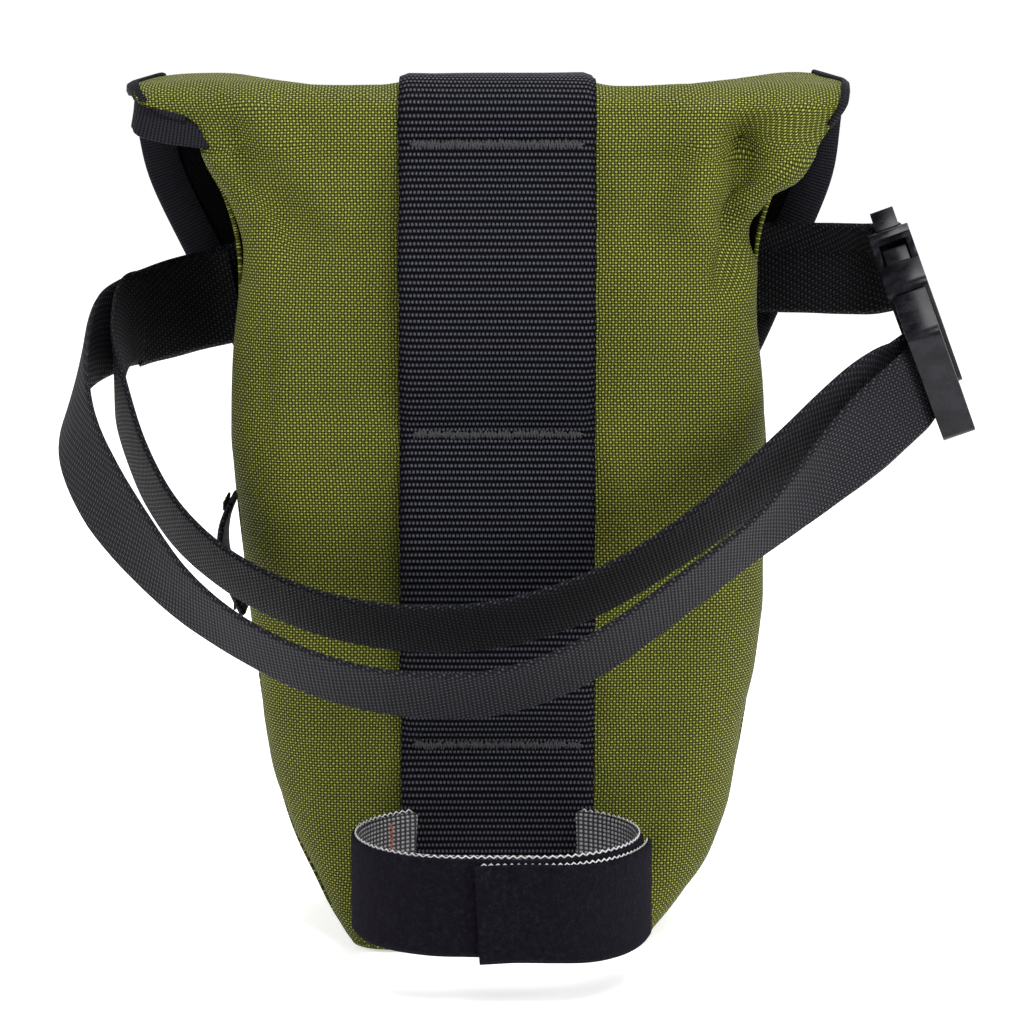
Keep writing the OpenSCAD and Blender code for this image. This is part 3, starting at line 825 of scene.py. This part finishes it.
def edge_run():
    """The lid's edge from one side over its lower edge to the other, with its inward directions."""
    left = [(i, 0) for i in range(EDGE_FROM, front.shape[0])]
    low = [(front.shape[0] - 1, j) for j in range(1, FACE_COLS - 1)]
    right = [(i, FACE_COLS - 1) for i in range(front.shape[0] - 1, EDGE_RIGHT - 1, -1)]
    cells = left + low + right
    edge = np.array([front[c] for c in cells])
    norm_out = np.array([lid_n[c] for c in cells])
    edge = smoothed(edge, 4)
    tangent = unit(np.gradient(edge, axis=0))
    centre = front[(EDGE_FROM + front.shape[0]) // 2, MID_COL]
    inward = unit(np.cross(norm_out, tangent))
    side = np.sign(np.sum(inward * (centre - edge), axis=1, keepdims=True))
    inward = smoothed(unit(inward * side), 6)
    return edge, unit(inward), unit(smoothed(norm_out, 4))


edge, inward, outward = edge_run()
from_ends = np.minimum(np.arange(len(edge)), len(edge) - 1 - np.arange(len(edge)))
tape_shown = 0.08 + 0.92 * ease((from_ends - 30) / 10)
lid_tape = bind_edge("lid_tape", edge, inward, outward, TAPE_W, 0.45, 1.9, tape_shown)
dress(lid_tape, TAPE, None, ("lid_binding",))

lid_under = front[LID_FROM:] - lid_n[LID_FROM:] * 1.15
under_flip = bool(grid_normals(lid_under)[40, MID_COL, 2] < 0)
lid_inside = sheet_object("lid_inside", lid_under, 0.7, cloth_uv[LID_FROM:], under_flip)
dress(lid_inside, BLACK, None, ("lid_lining",))

# The tape goes on along the lid's front edge on the left, down to the mouth
CORNER_ROUTE = [(-92.0, -34, 218.6), (-90.0, -37.2, 217.0), (-84, -38.2, 215.6), (-76, -37.6, 214.4),
                (-69, -36.0, 213.4)]
corner_tape = ribbon_object("lid_corner_tape", catmull(CORNER_ROUTE, 6), [UPRIGHT, UPRIGHT], TAPE_W, 1.6,
                            wave=0.2, seed=51)
dress(corner_tape, TAPE, None)


def mouth_tape():
    """Tape over the mouth's sides and far edge."""
    ring = smoothed(cross_section(BODY_H, 121)[6:-6], 3)
    tangent = unit(np.gradient(ring, axis=0))
    out = unit(np.cross(tangent, [0, 0, 1.0]))
    if out[len(out) // 2, 1] < 0:
        out = -out
    down = np.tile([0, 0, -1.0], (len(ring), 1))
    return bind_edge("mouth_tape", ring, down, out, 8.5, 0.4, 2.9)


dress(mouth_tape(), TAPE, "bag", ("mouth_binding",))


# Wide webbing -----------------------------------------------------------------------------
BARTACK_Z = (211.0, 137.0, 56.0)
LOOP_GAP = 7.0


def loop_points(z_top, z_low):
    """One stretch of webbing between two rows of stitches, standing off the panel."""
    out = []
    for i in range(13):
        s = i / 12
        off = LOOP_GAP * math.sin(math.pi * s) ** 0.9
        out.append((MOUNT_Y - 0.3 - off, z_top + (z_low - z_top) * s))
    return out


def spine_path():
    """Middle of the webbing's thickness, from its lower end to the top of the mounting face."""
    pts = [(MOUNT_Y - 1.0, BODY_H - 1)]
    pts += [(y - 0.9, z) for y, z in loop_points(BARTACK_Z[0] - 2, BARTACK_Z[1] + 2)]
    pts += [(y - 0.9, z) for y, z in loop_points(BARTACK_Z[1] - 2, BARTACK_Z[2] + 2)]
    pts += [(MOUNT_Y - 1.1, BARTACK_Z[2] - 3), (MOUNT_Y - 3.4, 44), (MOUNT_Y - 3.8, 30), (MOUNT_Y - 3.7, 13)]
    return np.array(pts[::-1])


def over_sheet(first, last, gap):
    """Middle line of the sheet between two heights of its rows, moved outwards by gap."""
    rows = slice(first, last)
    return front[rows, MID_COL, 1:] + lid_n[rows, MID_COL, 1:] * gap


FOLD_FROM = int(np.argmax(front[:, MID_COL, 2] > BARTACK_Z[0] + 1.5))
over = over_sheet(FOLD_FROM, BODY_ROWS + 101, 1.15)
spine = np.concatenate([spine_path()[:-2], over])
spine = smoothed(even(smoothed(even(spine, 420), 3), 460), 3)
spine3 = np.concatenate([np.zeros((len(spine), 1)), spine], axis=1)
webbing = ribbon_object("wide_webbing", spine3, [LEVEL, LEVEL], SPINE_W, SPINE_T, wave=0.22, seed=4)
dress(webbing, SPINE, None, ("spine_webbing", "lid_webbing"))
FACE_TOP = int(np.argmax(spine[:, 1] > BODY_H))


def stitch_row(z, seed):
    """A dense zigzag of thread across the webbing, in bundles that pull it down."""
    rng = np.random.default_rng(seed)
    paths = []
    bundles = 12
    pitch = (SPINE_W - 7) / bundles
    y = np.interp(z, spine[:FACE_TOP, 1], spine[:FACE_TOP, 0]) - 1.05
    for b in range(bundles):
        x0 = -SPINE_W / 2 + 3.5 + b * pitch
        pts = []
        for k in range(9):
            x = x0 + 0.25 + k * (pitch - 0.5) / 8
            h = 1.05 if k % 2 else -1.05
            astray = [rng.uniform(-d, d) for d in (0.12, 0.1, 0.3)]
            pts.append(np.array((x, y, z + h)) + astray)
        paths.append(catmull(pts, 3))
    reach = SPINE_W / 2 - 3
    line = [(x, y + 0.15, z + rng.uniform(-0.15, 0.15)) for x in np.linspace(-reach, reach, 40)]
    paths.append(catmull(line, 2))
    return paths


for level, z, seed in zip(("top", "middle", "bottom"), BARTACK_Z, (11, 12, 13)):
    row = tube_object(f"bartack_{level}_thread", stitch_row(z, seed), 0.32)
    dress(row, THREAD, "bag", (f"bartack_{level}",))


# Carrying strap ---------------------------------------------------------------------------
# The buckle's place, its length axis, and the directions of its width and thickness
BUCKLE_AT = np.array([109.0, 20.0, 174.5])
AXIS = unit(np.array([0.1, -0.88, -0.46]))
LEAN = np.array([-0.35, 0, 0.94])
ACROSS = unit(LEAN - (LEAN @ AXIS) * AXIS)
OUT = np.cross(ACROSS, AXIS)
# Distance of the plug's bar from the socket's, along the buckle
PLUG_BAR = 48.6


def in_buckle(x, y, z):
    """A point given across, along and out of the buckle."""
    return BUCKLE_AT + x * ACROSS + y * AXIS + z * OUT


# Directions of the strap's width where it hangs, and where it turns down on the left
HANGING = (0, -0.78, 0.62)
TURNING = (0.45, -0.6, 0.66)
BAND_ROUTE = [(-97.5, 21.2, 160.5), (-93.5, 27, 161.5), (-88, 33, 163), (-80, 40, 164.5), (-73, 43, 166),
              (-66, 42.9, 167), (-40, 42.7, 169), (0, 42.8, 171), (40, 42.9, 173), (66, 43.1, 174),
              (73, 43.2, 174.2), (81, 40, 174.4), (90, 36, 174.6), (97, 32, 174.8), (101.5, 28.4, 175)]
OUTER_ROUTE = [(-97, 21.5, 160), (-101, 12, 159.5), (-107, 1, 155.5), (-110.5, -14, 147),
               (-109.5, -29, 135.5), (-102.5, -42, 123), (-91.5, -53.5, 110.5), (-78, -64, 98),
               (-60.5, -73, 87.5), (-41, -80, 80.5), (-20.5, -84, 77.5), (0.5, -85, 78.5), (22.5, -82, 86),
               (47, -74, 101.5), (69, -63.5, 117), (87.5, -50, 132), (101, -36.8, 141.5),
               (108.8, -28.8, 146.9)]
INNER_ROUTE = [(-96.4, 20.6, 160.5), (-99.6, 12.5, 160.5), (-101.2, 4, 156), (-101, -7, 147),
               (-97, -19.5, 136), (-90.5, -32, 123.5), (-80, -45, 111.5), (-64, -55.5, 101),
               (-43, -62, 93.5), (-20, -65.5, 90.5), (2.5, -67, 92.5), (25, -66, 100), (49, -61.5, 114),
               (71.5, -52, 130), (90, -39, 142.5), (101.7, -26.5, 146.7), (106.4, -23.2, 149.4)]


SLEEVE_ROUTE = [(-98.4, 19.2, 158.2), (-95.6, 24.0, 158.8), (-91.6, 29, 159.4), (-86, 34.8, 160.4),
                (-79.6, 39.4, 161.6), (-72.6, 41.2, 163)]


def round_bar(along, radius, first, last, count):
    """A turn round a bar of the buckle that lies at a distance along it."""
    angles = np.linspace(first, last, count)
    return [in_buckle(0, along + radius * math.cos(a), radius * math.sin(a)) for a in angles]


def strap_piece():
    """Both strands as one strap: out along the outer route, round the plug's bar and back."""
    turn = round_bar(PLUG_BAR, 2.9, -0.9, 3.6, 13)
    path = np.concatenate([catmull(OUTER_ROUTE, 8), catmull(turn, 4), catmull(INNER_ROUTE[::-1], 8)])
    path = smoothed(even(path, 620), 3)
    ups = [UPRIGHT, TURNING, HANGING, HANGING, ACROSS, ACROSS, ACROSS, HANGING, HANGING, UPRIGHT]
    share = (0, 0.11, 0.21, 0.40, 0.485, 0.51, 0.535, 0.69, 0.845, 1.0)
    ups = mix_directions(ups, len(path), share)
    return ribbon_object("long_strap_webbing", path, ups, STRAP_W, STRAP_T, wave=0.12, seed=8)


def band_piece():
    """The band behind the bag, its lead round the socket's bar, and the tail sewn back."""
    lead = catmull(BAND_ROUTE, 8)
    turn = round_bar(0, 3.4, 1.2, 5.1, 12)
    if np.linalg.norm(turn[0] - lead[-1]) > np.linalg.norm(turn[-1] - lead[-1]):
        turn = turn[::-1]
    turn = catmull(turn, 3)
    tail = catmull([np.array(p) + np.array([-0.9, -1.7, -2.2]) for p in BAND_ROUTE[::-1][:6]], 8)
    path = smoothed(even(np.concatenate([lead, turn, tail]), 360), 3)
    ups = np.concatenate([mix_directions([UPRIGHT, UPRIGHT, UPRIGHT, UPRIGHT, ACROSS], len(lead)),
                          np.tile(ACROSS, (len(turn), 1)),
                          mix_directions([ACROSS, UPRIGHT, UPRIGHT], len(tail))])
    place = np.linspace(0, len(ups) - 1, len(path))
    ups = np.stack([np.interp(place, np.arange(len(ups)), ups[:, k]) for k in range(3)], axis=1)
    return ribbon_object("carry_band_webbing", path, unit(ups), STRAP_W, STRAP_T, wave=0.12, seed=21)


long_strap = strap_piece()
dress(long_strap, STRAP, None, ("long_strap",))
dress(band_piece(), STRAP, "bag", ("carry_band", "buckle_lead"))
sleeve_path = catmull(SLEEVE_ROUTE, 8) + np.array([0.3, -1.8, 1.6])
sleeve = ribbon_object("sleeve_webbing", sleeve_path, [UPRIGHT, UPRIGHT], STRAP_W + 1.0, STRAP_T,
                       wave=0.2, seed=31)
dress(sleeve, STRAP, "bag", ("left_sleeve",))


# Buckle -----------------------------------------------------------------------------------
def moulded(node, name, body, bevel):
    """The CAD part's own shape with moulded radii on its edges."""
    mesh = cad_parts[node].data.copy()
    mesh.name = name
    obj = placed(name, mesh)
    bm = bmesh.new()
    bm.from_mesh(mesh)
    bmesh.ops.remove_doubles(bm, verts=bm.verts, dist=1e-6)
    bmesh.ops.dissolve_limit(bm, angle_limit=math.radians(1.0), verts=bm.verts, edges=bm.edges)
    bm.to_mesh(mesh)
    bm.free()
    mod = obj.modifiers.new("radii", "BEVEL")
    mod.width = bevel * MM
    mod.segments = 3
    mod.limit_method = "ANGLE"
    mod.angle_limit = math.radians(35)
    mod.harden_normals = True
    mesh.polygons.foreach_set("use_smooth", [True] * len(mesh.polygons))
    dress(obj, PLASTIC, body, (node,))


moulded("buckle_socket", "socket_moulding", "bag", 1.3)
moulded("buckle_plug", "plug_moulding", "strap", 1.2)
moulded("buckle_arm_upper", "arm_upper_moulding", "arm_upper", 0.45)
moulded("buckle_arm_lower", "arm_lower_moulding", "arm_lower", 0.45)


# Seat-post band ---------------------------------------------------------------------------
POST_R = 25.0
POST_T = 2.0
POST_HALF = 10.0
POST_Y = MOUNT_Y - 0.3 - POST_T - POST_R
POST_Z = 14.0
POST_H = 25.0
# How much lower the band's end hangs, and the half height of a stitch
END_DROP = 1.5
STITCH = 0.35


def post_outline(radius, start, end, count):
    """Points on the band's outline; 0 is its right end, and it runs towards -Y."""
    fine = 400
    pts = []
    for a in np.linspace(0, 2 * math.pi, fine, endpoint=False):
        x = math.copysign(POST_HALF, math.cos(a)) + radius * math.cos(a)
        pts.append((x, POST_Y - radius * math.sin(a)))
    loop = even(np.array(pts + pts[:1]), fine)
    place = np.linspace(start * fine, end * fine, count)
    loop = np.concatenate([loop, loop[1:]])
    return np.stack([np.interp(place, np.arange(len(loop)), loop[:, k]) for k in range(2)], axis=1)


def band_layer(name, outline, z_low, thick, seed, wave):
    """One layer of the band with a ragged, slightly uneven edge."""
    rows = len(outline)
    z = z_low + POST_H / 2
    wob = 0.35 * np.sin(np.linspace(0, 9, rows) + seed)
    path = np.concatenate([outline, (z + wob)[:, None]], axis=1)
    return ribbon_object(name, path, [UPRIGHT, UPRIGHT], POST_H, thick, wave=wave, seed=seed)


pile_face = band_layer("post_band", post_outline(POST_R + 1.35, 0.0, 1.0, 260), POST_Z, 1.3, 3, 0.1)
dress(pile_face, PILE, "bag", ("post_strap",))
hook_outline = post_outline(POST_R + 0.35, 0.0, 1.0, 240)
hook_face = band_layer("post_band_hooks", hook_outline, POST_Z + 0.1, 0.7, 5, 0.05)
dress(hook_face, HOOKS, "bag")
end_outline = post_outline(POST_R + POST_T + 1.3, 0.0, 0.272, 120)
band_end = band_layer("post_band_end", end_outline, POST_Z - END_DROP, 1.6, 7, 0.12)
dress(band_end, PILE, "post_tab", ("post_strap_end",))


def rim_thread(name, outline, z, body):
    """The pale woven edge of the band: short stitches side by side along it."""
    pts = [(x, y, z + STITCH * (-1) ** i) for i, (x, y) in enumerate(outline)]
    dress(tube_object(name, [pts], 0.22, 5), WHITE_THREAD, body)


BAND_TOP = POST_Z + POST_H
rim_thread("post_band_rim", post_outline(POST_R + 0.9, 0.0, 1.0, 210), BAND_TOP + 0.1, "bag")
end_rim = post_outline(POST_R + POST_T + 0.8, 0.01, 0.268, 66)
rim_thread("post_end_rim", end_rim, BAND_TOP - END_DROP, "post_tab")
seam_at = post_outline(POST_R - 0.05, 0.60, 0.61, 2)[0]
seam = [(seam_at[0] + STITCH * (-1) ** i, seam_at[1], POST_Z + 2 + 21 * i / 24) for i in range(25)]
dress(tube_object("post_band_stitching", [seam], 0.3, 5), ORANGE_THREAD, "bag")

# Side loop --------------------------------------------------------------------------------
LOOP_ROUTE = [(-68.0, 0, 84), (-71.2, 0, 91), (-73.6, 0, 99), (-73.4, 0, 107), (-70.8, 0, 114)]
side_loop = ribbon_object("side_loop_webbing", catmull(LOOP_ROUTE, 8), [(0, 1, 0), (0, 1, 0)], STRAP_W, 1.6,
                          wave=0.15, seed=41)
dress(side_loop, STRAP, "bag", ("side_loop",))


def side_stitches():
    """Thread rows at both ends of the side loop."""
    rng = np.random.default_rng(17)
    paths = []
    for x, z in ((-69.4, 86), (-71.9, 113)):
        pts = []
        for k, y in enumerate(np.linspace(-10, 10, 30)):
            h = 0.9 if k % 2 else -0.9
            pts.append((x - 0.9, y, z + h + rng.uniform(-0.2, 0.2)))
        paths.append(catmull(pts, 3))
    return paths


dress(tube_object("side_loop_thread", side_stitches(), 0.3), THREAD, "bag", ("side_loop_bartacks",))


# Patches under the lid --------------------------------------------------------------------
def patch_piece(name, cad_node, material, body):
    """A sewn patch: the CAD shape with softened edges."""
    obj = placed(name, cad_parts[cad_node].data.copy())
    mod = obj.modifiers.new("edge", "BEVEL")
    mod.width = 0.3 * MM
    mod.segments = 2
    dress(obj, material, body, (cad_node,))


patch_piece("loop_patch", "bag_loop_patch", PILE, "bag")
patch_piece("hook_patch", "lid_hook_patch", PILE, "lid")

# Cloth that crosses the lid's fold line has its placement baked into its mesh.
for piece in (front_piece, webbing, lid_inside, lid_tape, corner_tape):
    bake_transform(piece)
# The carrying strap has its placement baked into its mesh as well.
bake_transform(long_strap)

# Stage ------------------------------------------------------------------------------------
bpy.ops.mesh.primitive_plane_add(size=12, location=(0, 0, -0.0005))
floor = bpy.context.object
floor.name = "floor"
floor_mat = bpy.data.materials.new("floor")
floor_mat.use_nodes = True
floor_shader = floor_mat.node_tree.nodes["Principled BSDF"]
for socket, value in (("Base Color", (0.9, 0.9, 0.9, 1)), ("Roughness", 0.9), ("Specular IOR Level", 0.0),
                      ("Emission Color", (1, 1, 1, 1)), ("Emission Strength", 0.55)):
    floor_shader.inputs[socket].default_value = value
floor.data.materials.append(floor_mat)

# A white surround, brighter from behind the bag than from in front of it
world = bpy.data.worlds.new("studio")
bpy.context.scene.world = world
world.use_nodes = True
world_nodes = world.node_tree.nodes
place = world_nodes.new("ShaderNodeTexCoord")
split = world_nodes.new("ShaderNodeSeparateXYZ")
spread = world_nodes.new("ShaderNodeMapRange")
for socket, value in (("From Min", -0.15), ("From Max", 0.55), ("To Min", 0.16), ("To Max", 1.05)):
    spread.inputs[socket].default_value = value
world.node_tree.links.new(place.outputs["Generated"], split.inputs[0])
world.node_tree.links.new(split.outputs[1], spread.inputs[0])
world.node_tree.links.new(spread.outputs[0], world_nodes["Background"].inputs[1])
world_nodes["Background"].inputs[0].default_value = (1.0, 1.0, 1.0, 1)


def area_light(name, place, target, size, power):
    """A square light aimed at a point; metres and watts."""
    data = bpy.data.lights.new(name, "AREA")
    data.energy = power
    data.size = size
    obj = placed(name, data)
    obj.location = place
    obj.rotation_euler = (Vector(target) - Vector(place)).to_track_quat("-Z", "Y").to_euler()


area_light("key", (0.25, -0.75, 1.05), (0, 0, 0.12), 0.5, 17)
area_light("left", (-0.9, -0.55, 0.5), (0, 0, 0.12), 0.45, 5.5)
area_light("right", (0.95, -0.6, 0.45), (0, 0, 0.12), 0.45, 7.5)
area_light("top", (0.0, 0.25, 1.1), (0, 0, 0.15), 0.6, 8)

CAM_DISTANCE = 1.0
PITCH = math.radians(9)
TARGET = Vector((0.0037, 0, 0.110))
LENS = 131.0625
cam_data = bpy.data.cameras.new("camera")
cam_data.sensor_width = 36
cam_data.lens = LENS
camera = placed("camera", cam_data)
camera.location = TARGET + Vector((0, -CAM_DISTANCE * math.cos(PITCH), CAM_DISTANCE * math.sin(PITCH)))
camera.rotation_euler = (math.pi / 2 - PITCH, 0, 0)
bpy.context.scene.camera = camera
bpy.context.scene.view_settings.view_transform = "Standard"

bpy.context.view_layer.update()
